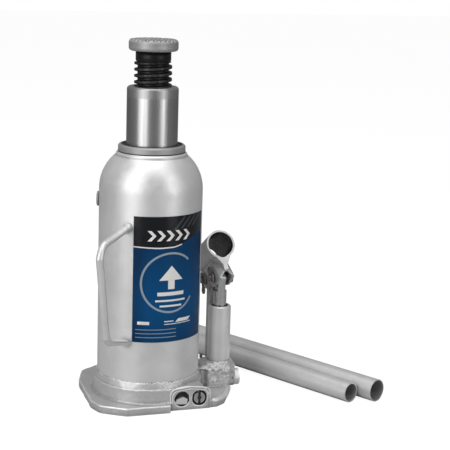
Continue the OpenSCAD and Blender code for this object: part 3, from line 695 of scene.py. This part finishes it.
def build_tank():
    """The spun tank as fine rings, with its filler hole."""
    low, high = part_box("tank")
    top, wall = high.z, 2.5 * MM
    wall_top = TANK_TOP
    centre = (TANK_R - SHOULDER_R, wall_top)
    stop = math.degrees(math.asin((top - LIP_H - wall_top) / SHOULDER_R))
    stop_in = math.degrees(math.asin((top - LIP_H - wall - wall_top) / (SHOULDER_R - wall)))
    straight = [low.z + (wall_top - low.z) * k / 40 for k in range(40)]
    profile = [(TANK_R, z) for z in straight] + arc(centre, SHOULDER_R, 0, stop, 40)
    profile += [(LIP_R, top - LIP_H), (LIP_R, top - 1.4 * MM), (LIP_TOP_R, top), (LIP_HOLE_R, top),
                (LIP_HOLE_R, top - LIP_H - wall)]
    profile += arc(centre, SHOULDER_R - wall, stop_in, 0, 24) + [(TANK_R - wall, low.z), (TANK_R, low.z)]
    bm = bmesh.new()
    add_grid(bm, lathe_rows(profile, 160))
    tank = new_object("tank_shell", bm, finish["silver_paint"])
    bm = bmesh.new()
    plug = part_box("filler_plug")
    middle = around(FILLER_AZIMUTH, TANK_R, (plug[0].z + plug[1].z) / 2)
    turn = (around(FILLER_AZIMUTH, 1, 0)).to_track_quat("Z", "Y").to_matrix().to_4x4()
    bmesh.ops.create_cone(bm, cap_ends=True, segments=64, radius1=FILLER_R, radius2=FILLER_R, depth=16 * MM,
                          matrix=Matrix.Translation(middle) @ turn)
    drill = new_object("drill", bm)
    hole = tank.modifiers.new("filler_hole", "BOOLEAN")
    hole.object, hole.operation, hole.solver = drill, "DIFFERENCE", "EXACT"
    apply_modifiers(tank)
    bpy.data.objects.remove(drill)
    smooth = tank.modifiers.new("smooth", "NODES")
    smooth.node_group = smooth_by_angle_group(math.radians(32))
    place(tank, "jack_base", "silver_paint", "tank")


# ------------------------------------------------------------------ carrying handle
GRIP_AZIMUTH = math.radians(230)
GRIP_R = 3 * MM


def around(azimuth, away, z, across=0.0):
    """A point at a distance from the ram's axis, in a direction, at a height."""
    return Vector((away * math.cos(azimuth) - across * math.sin(azimuth),
                   away * math.sin(azimuth) + across * math.cos(azimuth), z))


def corner_points(a, b, c, radius, steps=8):
    """Points of the arc that rounds corner b between a and c, as (away, z)."""
    a, b, c = Vector(a), Vector(b), Vector(c)
    u, v = (a - b).normalized(), (c - b).normalized()
    half = math.acos(u.dot(v)) / 2
    centre = b + (u + v).normalized() * radius / math.sin(half)
    first, last = b + u * radius / math.tan(half) - centre, b + v * radius / math.tan(half) - centre
    turn = math.atan2(first.x * last.y - first.y * last.x, first.dot(last))
    start = math.atan2(first.y, first.x)
    return [centre + radius * Vector((math.cos(start + turn * i / steps), math.sin(start + turn * i / steps)))
            for i in range(steps + 1)]


def build_carry_handle():
    """A bent rod, flattened where it is welded on, with lumpy welds."""
    ends = ((TANK_R - 1 * MM, 150.7 * MM), (TANK_R - 1 * MM, 56.4 * MM))
    bends = ((91 * MM, 143.5 * MM), (76.5 * MM, 65.5 * MM))
    bend_r = 12 * MM
    line = [Vector(ends[0])] + corner_points(ends[0], bends[0], bends[1], bend_r)
    line += corner_points(bends[0], bends[1], ends[1], bend_r) + [Vector(ends[1])]
    path = smooth_path([around(GRIP_AZIMUTH, p.x, p.y) for p in line], 4)
    pinch = lambda t: 1 - smoothstep(0.1, 0.0, min(t, 1 - t))
    bm = bmesh.new()
    add_sweep(bm, path, GRIP_R, 20,
              flatten=lambda t: (1 + 0.35 * (1 - pinch(t)), 0.75 + 0.25 * pinch(t)))
    for away, z in ends:
        for k in range(7):
            a = 2 * math.pi * k / 7 + rng.random()
            reach = rng.uniform(1.6, 3.4) * MM
            spot = around(GRIP_AZIMUTH, TANK_R + 0.5 * MM, z + reach * math.sin(a), reach * math.cos(a))
            add_ball(bm, spot, rng.uniform(1.5, 2.3) * MM)
    rod = new_object("carry_handle_rod", bm, finish["silver_paint"])
    remesh(rod, 0.5 * MM, 0.5, 4)
    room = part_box("carry_handle")
    reshape(rod, lambda point, normal: inside(point + normal * noise.noise(point * 260) * 0.12 * MM, *room))
    place(rod, "jack_base", "silver_paint", "carry_handle")


# ------------------------------------------------------------------ label
LABEL_R = TANK_R + 0.3 * MM
LAYER = 0.04 * MM
STRIP = 2.0                                # width of the strips a print is bent in, mm


def print_on_label(name, outlines, material, layer):
    """Flat outlines in mm, along the tank's curve from its -Y side and up, bent onto the label."""
    bm = bmesh.new()
    for outline in outlines:
        bm.faces.new([bm.verts.new((s, z, 0)) for s, z in outline])
    bm.normal_update()
    bmesh.ops.triangulate(bm, faces=bm.faces, ngon_method="EAR_CLIP")
    low, high = min(v.co.x for v in bm.verts), max(v.co.x for v in bm.verts)
    for k in range(math.ceil(low / STRIP), math.ceil(high / STRIP)):
        geometry = bm.verts[:] + bm.edges[:] + bm.faces[:]
        bmesh.ops.bisect_plane(bm, geom=geometry, plane_co=(k * STRIP, 0, 0), plane_no=(1, 0, 0))
    radius = LABEL_R + layer * LAYER
    for v in bm.verts:
        azimuth = math.radians(-90) + v.co.x * MM / TANK_R
        v.co = around(azimuth, radius, v.co.y * MM)
    bmesh.ops.recalc_face_normals(bm, faces=bm.faces)
    for face in bm.faces:
        middle = face.calc_center_median()
        if face.normal.dot(Vector((middle.x, middle.y, 0))) < 0:
            face.normal_flip()
    obj = new_object(name, bm, material)
    place(obj, "jack_base", "label")


def bar(s0, s1, z0, z1, lean=0.0):
    return [(s0, z0), (s1, z0), (s1 + lean, z1), (s0 + lean, z1)]


def ring_sector(centre, radius, width, start, stop, steps=60):
    outer = arc(centre, radius + width / 2, start, stop, steps)
    inner = arc(centre, radius - width / 2, start, stop, steps)
    return [[a, b, d, c] for a, b, c, d in zip(outer, outer[1:], inner, inner[1:])]


def chevron(s, z, w, h, thick):
    return [(s, z), (s + thick, z), (s + thick + w, z + h / 2), (s + thick, z + h), (s, z + h), (s + w, z + h / 2)]


def build_label():
    white = ink("ink_white", (0.82, 0.82, 0.80))
    black = ink("ink_black", (0.006, 0.007, 0.009), 0.24)
    pale = ink("ink_grey", (0.30, 0.36, 0.42))
    dark_grey = ink("ink_dark_grey", (0.05, 0.055, 0.06))
    left, right, top = -24.1, 43.9, 160.2
    band = [(left, 136.8), (-3, 135.9), (9, 136.4), (16, 138), (24, 140.5), (33, 144), (right, 147)]
    print_on_label("print_band", [band + [(right, top), (left, top)]], black, 1)
    line = band[:4]
    print_on_label("print_line", [[(s, z - 1.3) for s, z in line] + [(s, z - 0.3) for s, z in line[::-1]]],
                   white, 2)
    slashes = [bar(s, s + 2.4, 149.5 + k * 0.6, 159.3, 9) for k, s in enumerate((8, 14, 20, 26))]
    print_on_label("print_slashes", slashes, dark_grey, 2)
    marks = [chevron(-13 + 7.5 * k, 140.8, 4, 8.4, 3) for k in range(5)]
    print_on_label("print_chevrons", marks, white, 2)
    centre = (6.4, 106.7)
    print_on_label("print_ring", ring_sector(centre, 24, 1.7, 46, 326), pale, 1)
    shaft = bar(4.2, 9.8, 101.5, 109.2)
    head = [(-3.2, 108.8), (17.2, 108.8), (7, 120.6)]
    plate = bar(-4.5, 18.5, 96.2, 99.2)
    print_on_label("print_arrow", [shaft, head, plate], white, 1)
    print_on_label("print_rules", [bar(-6, 20, 91.4, 92.9), bar(-2.5, 16.5, 87.0, 88.5)], white, 1)
    print_on_label("print_blocks", [bar(-20, -10.5, 72.6, 75.2), bar(1.5, 27, 72.4, 73.0),
                                    bar(11, 24, 73.8, 76.6, 3), bar(1.5, 9.5, 74.6, 75.4)], white, 1)
    print_on_label("print_lines", [bar(-21.5, 12, z, z + 0.55) for z in (68.2, 65.0, 61.8)], pale, 1)


# ------------------------------------------------------------------ pins, socket and plug
def wire_pin(name, node, top, bottom, eye_r):
    """A split pin: an eye of bent wire and two legs that splay below."""
    wire = 0.85 * MM
    x = (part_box(node)[0].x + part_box(node)[1].x) / 2
    eye_y, eye_z = top
    end_y, end_z = bottom
    towards = Vector((0, end_y - eye_y, end_z - eye_z)).normalized()
    side = towards.cross(Vector((1, 0, 0)))
    eye = Vector((x, eye_y, eye_z))
    loop = [eye + eye_r * (towards * math.cos(a) + side * math.sin(a))
            for a in (math.radians(32 + 296 * i / 22) for i in range(23))]
    neck = [eye + towards * (eye_r + 1.6 * MM) + side * s * 0.5 * MM for s in (1, -1)]
    length = (Vector((x, end_y, end_z)) - eye).length
    legs = []
    for s, splay, share in ((1, 1.9 * MM, 1.0), (-1, 1.2 * MM, 0.9)):
        straight = eye + towards * (length - 3.2 * MM) + side * s * 0.5 * MM
        tip = eye + towards * length * share + side * s * splay + Vector((s * 0.3 * MM, 0, 0))
        legs.append((straight, tip))
    path = [legs[0][1], legs[0][0], neck[0]] + loop + [neck[1], legs[1][0], legs[1][1]]
    bm = bmesh.new()
    add_sweep(bm, smooth_path(path, 3), wire, 10)
    return new_object(name, bm, finish["aged_steel"])


def in_socket(along, up):
    """(y, z) of a point in the handle socket's own frame, which tilts about the piston pin."""
    tilt = math.radians(30)
    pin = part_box("piston_pin")
    z0 = (pin[0].z + pin[1].z) / 2
    return (along * math.cos(tilt) + up * math.sin(tilt), z0 - along * math.sin(tilt) + up * math.cos(tilt))


def build_split_pins():
    back, up = 22.5 * MM, 4.9 * MM
    pair = [wire_pin("pin_a", "socket_cotters", in_socket(0, 6.6 * MM), in_socket(0, -8.5 * MM), 2.2 * MM),
            wire_pin("pin_b", "socket_cotters", in_socket(back, up - 9.2 * MM), in_socket(back, up + 6.5 * MM),
                     2.7 * MM)]
    bm = bmesh.new()
    for pin in pair:
        bm.from_mesh(pin.data)
        bpy.data.objects.remove(pin)
    place(new_object("socket_split_pins", bm, finish["aged_steel"]), "handle_socket", "aged_steel",
          "socket_cotters")
    y = (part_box("fulcrum_pin")[0].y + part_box("fulcrum_pin")[1].y) / 2
    z = (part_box("fulcrum_pin")[0].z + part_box("fulcrum_pin")[1].z) / 2
    pin = wire_pin("fulcrum_split_pin", "fulcrum_cotter", (y, z + 6.4 * MM), (y, z - 8 * MM), 1.9 * MM)
    place(pin, "jack_base", "aged_steel", "fulcrum_cotter")


def build_washers():
    """Plain washers between the socket's ears and the split pins."""
    bm = bmesh.new()
    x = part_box("piston_pin")[0].x
    for y, z in (in_socket(0, 0), in_socket(22.5 * MM, 4.9 * MM)):
        rows = [[(x + h * MM, y + r * MM * math.cos(a), z + r * MM * math.sin(a))
                 for a in (2 * math.pi * k / 40 for k in range(40))]
                for r, h in ((3.1, 2.5), (4.3, 2.5), (4.6, 2.7), (4.6, 3.3), (4.3, 3.5), (3.1, 3.5), (3.1, 2.5))]
        add_grid(bm, rows)
    place(new_object("socket_washers", bm, finish["steel"]), "handle_socket", "dark_steel")


def build_valve_details():
    """A cast stub in the left pocket, near-black rings of painted shade in both pockets, and the widened middle of
    the release valve's slot as a thin inlay of painted shade.
    """
    low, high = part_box("relief_cap")
    x, z = (low.x + high.x) / 2, (low.z + high.z) / 2
    bm = bmesh.new()
    stub = [(-5.4, -4.6), (4.6, -5.2), (5.2, -0.6), (1.2, 1.6), (-4.6, -0.4)]
    for y0, y1, grow in ((PANEL_Y + 0.2 * MM, high.y, 1.0),):
        rows = [[(x + a * MM * s, y, z + b * MM * s) for a, b in stub]
                for y, s in ((y1, grow), (y0 + 0.8 * MM, grow), (y0, grow * 0.86))]
        faces = [[bm.verts.new(p) for p in row] for row in rows]
        for a, b in zip(faces, faces[1:]):
            for k in range(len(stub)):
                n = (k + 1) % len(stub)
                bm.faces.new((a[k], a[n], b[n], b[k]))
        bm.faces.new(faces[0])
        bm.faces.new(faces[-1])
    bmesh.ops.recalc_face_normals(bm, faces=bm.faces)
    place(new_object("relief_stub", bm, finish["silver_paint"], smooth=False), "jack_base",
          "silver_paint_cast", "relief_cap")
    # painted shade: near-black rings round the inside of both valve pockets
    bm = bmesh.new()
    for node in ("relief_cap", "release_valve"):
        low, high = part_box(node)
        centre = Vector(((low.x + high.x) / 2, PANEL_Y + 3.3 * MM, (low.z + high.z) / 2))
        turn = Matrix.Translation(centre) @ Matrix.Rotation(math.radians(90), 4, "X")
        inner = 0 if node == "relief_cap" else 4.85
        rows = [[turn @ Vector((r * MM * math.cos(a), r * MM * math.sin(a), h * MM))
                 for a in (2 * math.pi * k / 48 for k in range(48))]
                for r, h in ((6.25, 2.6), (6.25, 0), (max(inner, 0.2), 0), (max(inner, 0.2), -0.2),
                             (6.4, -0.2), (6.4, 2.6), (6.25, 2.6))]
        add_grid(bm, rows)
    place(new_object("pocket_shade", bm, finish["rubber"], smooth=False), "jack_base", "rubber")
    # painted shade: a thin near-black inlay standing for the shadow in the valve's widened slot
    low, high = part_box("release_valve")
    x, z = (low.x + high.x) / 2, (low.z + high.z) / 2
    half = 4.2
    slot = [(-0.9, -half), (0.9, -half), (0.9, -1.4), (1.9, 0), (0.7, 2.2), (0.6, half), (-0.6, half),
            (-0.7, 2.2), (-1.9, 0), (-0.9, -1.4)]
    bm = bmesh.new()
    rows = [[bm.verts.new((x + a * MM, low.y + depth, z + b * MM)) for a, b in slot]
            for depth in (-0.04 * MM, 0.6 * MM)]
    for k in range(len(slot)):
        n = (k + 1) % len(slot)
        bm.faces.new((rows[0][k], rows[0][n], rows[1][n], rows[1][k]))
    bm.faces.new(rows[0])
    bm.faces.new(rows[1][::-1])
    bmesh.ops.recalc_face_normals(bm, faces=bm.faces)
    place(new_object("release_slot_shade", bm, finish["rubber"], smooth=False), "release_valve", "rubber")


def build_socket():
    """The folded sheet with the soft edges that pressing leaves."""
    bm = bmesh.new()
    add_cad_node(bm, "handle_socket")
    sheet = new_object("socket_sheet", bm, paints["handle_socket"])
    remesh(sheet, 0.3 * MM, 0.5, 2)
    reshape(sheet, lambda point, normal: point + normal * (noise.noise(point * 240) * 0.1 - 0.16) * MM)
    place(sheet, "handle_socket", "silver_paint", "handle_socket")


def build_filler_plug():
    """A domed rubber plug with a rim, a groove and a dimple."""
    low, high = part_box("filler_plug")
    centre = (low + high) / 2
    start = TANK_R - 4.5 * MM
    profile = [(0, 0), (4.4, 0), (4.9, 0.5), (4.9, 4.3), (4.2, 4.6), (5.9, 4.7), (6.15, 5.1), (6.1, 5.7),
               (5.3, 6.3), (4.0, 6.45), (3.4, 6.1), (2.8, 6.05), (1.2, 6.35), (0, 6.4)]
    bm = bmesh.new()
    add_grid(bm, lathe_rows([(r * MM, h * MM) for r, h in profile], 64))
    turn = Matrix((around(FILLER_AZIMUTH, 0, 0, 1), (0, 0, 1), around(FILLER_AZIMUTH, 1, 0)))
    bm.transform(Matrix.Translation(around(FILLER_AZIMUTH, start, centre.z)) @ turn.transposed().to_4x4())
    plug = new_object("filler_plug_cap", bm, finish["filler_plastic"])
    place(plug, "filler_plug", "filler_plastic", "filler_plug")


# ------------------------------------------------------------------ stage
def area_light(name, azimuth, distance, width, height, lift, watts, aim_z=0.12):
    """A soft box that faces the ram's axis."""
    data = bpy.data.lights.new(name, "AREA")
    data.shape = "RECTANGLE"
    data.size, data.size_y = width, height
    data.energy = watts
    obj = bpy.data.objects.new(name, data)
    obj.location = around(math.radians(azimuth), distance, lift)
    obj.rotation_euler = (Vector((0, 0, aim_z)) - obj.location).to_track_quat("-Z", "Y").to_euler()
    bpy.context.scene.collection.objects.link(obj)


def add_lights():
    # angles measured from the camera's direction: negative is to its left
    area_light("softbox_left", FRONT - 38, 0.95, 0.66, 1.5, 0.62, 7.6, 0.62)
    area_light("softbox_right", FRONT + 52, 0.95, 0.34, 1.5, 0.62, 3.5, 0.62)
    area_light("overhead", FRONT, 0.15, 1.1, 1.1, 1.25, 7)


def add_world():
    world = bpy.data.worlds.new("studio")
    world.use_nodes = True
    tree = world.node_tree
    back = tree.nodes["Background"]
    path = tree.nodes.new("ShaderNodeLightPath")
    tone = tree.nodes.new("ShaderNodeMapRange")
    tone.inputs["To Min"].default_value = 0.26
    tone.inputs["To Max"].default_value = 1.0
    tree.links.new(path.outputs["Is Camera Ray"], tone.inputs["Value"])
    back.inputs["Color"].default_value = (1, 1, 1, 1)
    tree.links.new(tone.outputs[0], back.inputs["Strength"])
    bpy.context.scene.world = world


def add_floor():
    """A pale floor that keeps only a faint shadow for the lens and bounces a little grey light."""
    bm = bmesh.new()
    bmesh.ops.create_grid(bm, x_segments=1, y_segments=1, size=6)
    mat = bpy.data.materials.new("floor")
    mat.use_nodes = True
    tree = mat.node_tree
    tree.nodes.clear()
    out = tree.nodes.new("ShaderNodeOutputMaterial")
    path = tree.nodes.new("ShaderNodeLightPath")
    glow, seen, hidden = (tree.nodes.new(k) for k in
                          ("ShaderNodeEmission", "ShaderNodeBsdfDiffuse", "ShaderNodeBsdfDiffuse"))
    glow.inputs["Strength"].default_value = 0.92
    seen.inputs["Color"].default_value = (0.22, 0.22, 0.22, 1)
    hidden.inputs["Color"].default_value = (0.42, 0.42, 0.42, 1)
    lens, pick = tree.nodes.new("ShaderNodeAddShader"), tree.nodes.new("ShaderNodeMixShader")
    tree.links.new(glow.outputs[0], lens.inputs[0])
    tree.links.new(seen.outputs[0], lens.inputs[1])
    tree.links.new(path.outputs["Is Camera Ray"], pick.inputs["Fac"])
    tree.links.new(hidden.outputs[0], pick.inputs[1])
    tree.links.new(lens.outputs[0], pick.inputs[2])
    tree.links.new(pick.outputs[0], out.inputs["Surface"])
    floor = new_object("floor", bm, mat, smooth=False)
    floor.location.z = -0.1 * MM


def add_camera():
    """A long lens at the jack's front left, a little above it."""
    place_at = Vector((-276.7, -1032.8, 371.3)) * MM
    h, p, r = math.radians(CAMERA_HEADING), math.radians(11.869), math.radians(1.74)
    ahead = Vector((math.cos(h) * math.cos(p), math.sin(h) * math.cos(p), -math.sin(p)))
    right = Vector((math.sin(h), -math.cos(h), 0))
    up = right.cross(ahead)
    side = right * math.cos(r) + up * math.sin(r)
    top = up * math.cos(r) - right * math.sin(r)
    data = bpy.data.cameras.new("camera")
    data.lens = 107.07
    data.sensor_width = 36
    camera = bpy.data.objects.new("camera", data)
    camera.matrix_world = Matrix.Translation(place_at) @ Matrix((side, top, -ahead)).transposed().to_4x4()
    bpy.context.scene.collection.objects.link(camera)
    bpy.context.scene.camera = camera
    bpy.context.scene.view_settings.view_transform = "Standard"


dress_cad_nodes()
build_screw()
build_saddle()
build_base()
build_base_rims()
build_tank()
build_carry_handle()
build_label()
build_split_pins()
build_washers()
build_valve_details()
build_socket()
build_filler_plug()
add_world()
add_lights()
add_floor()
add_camera()
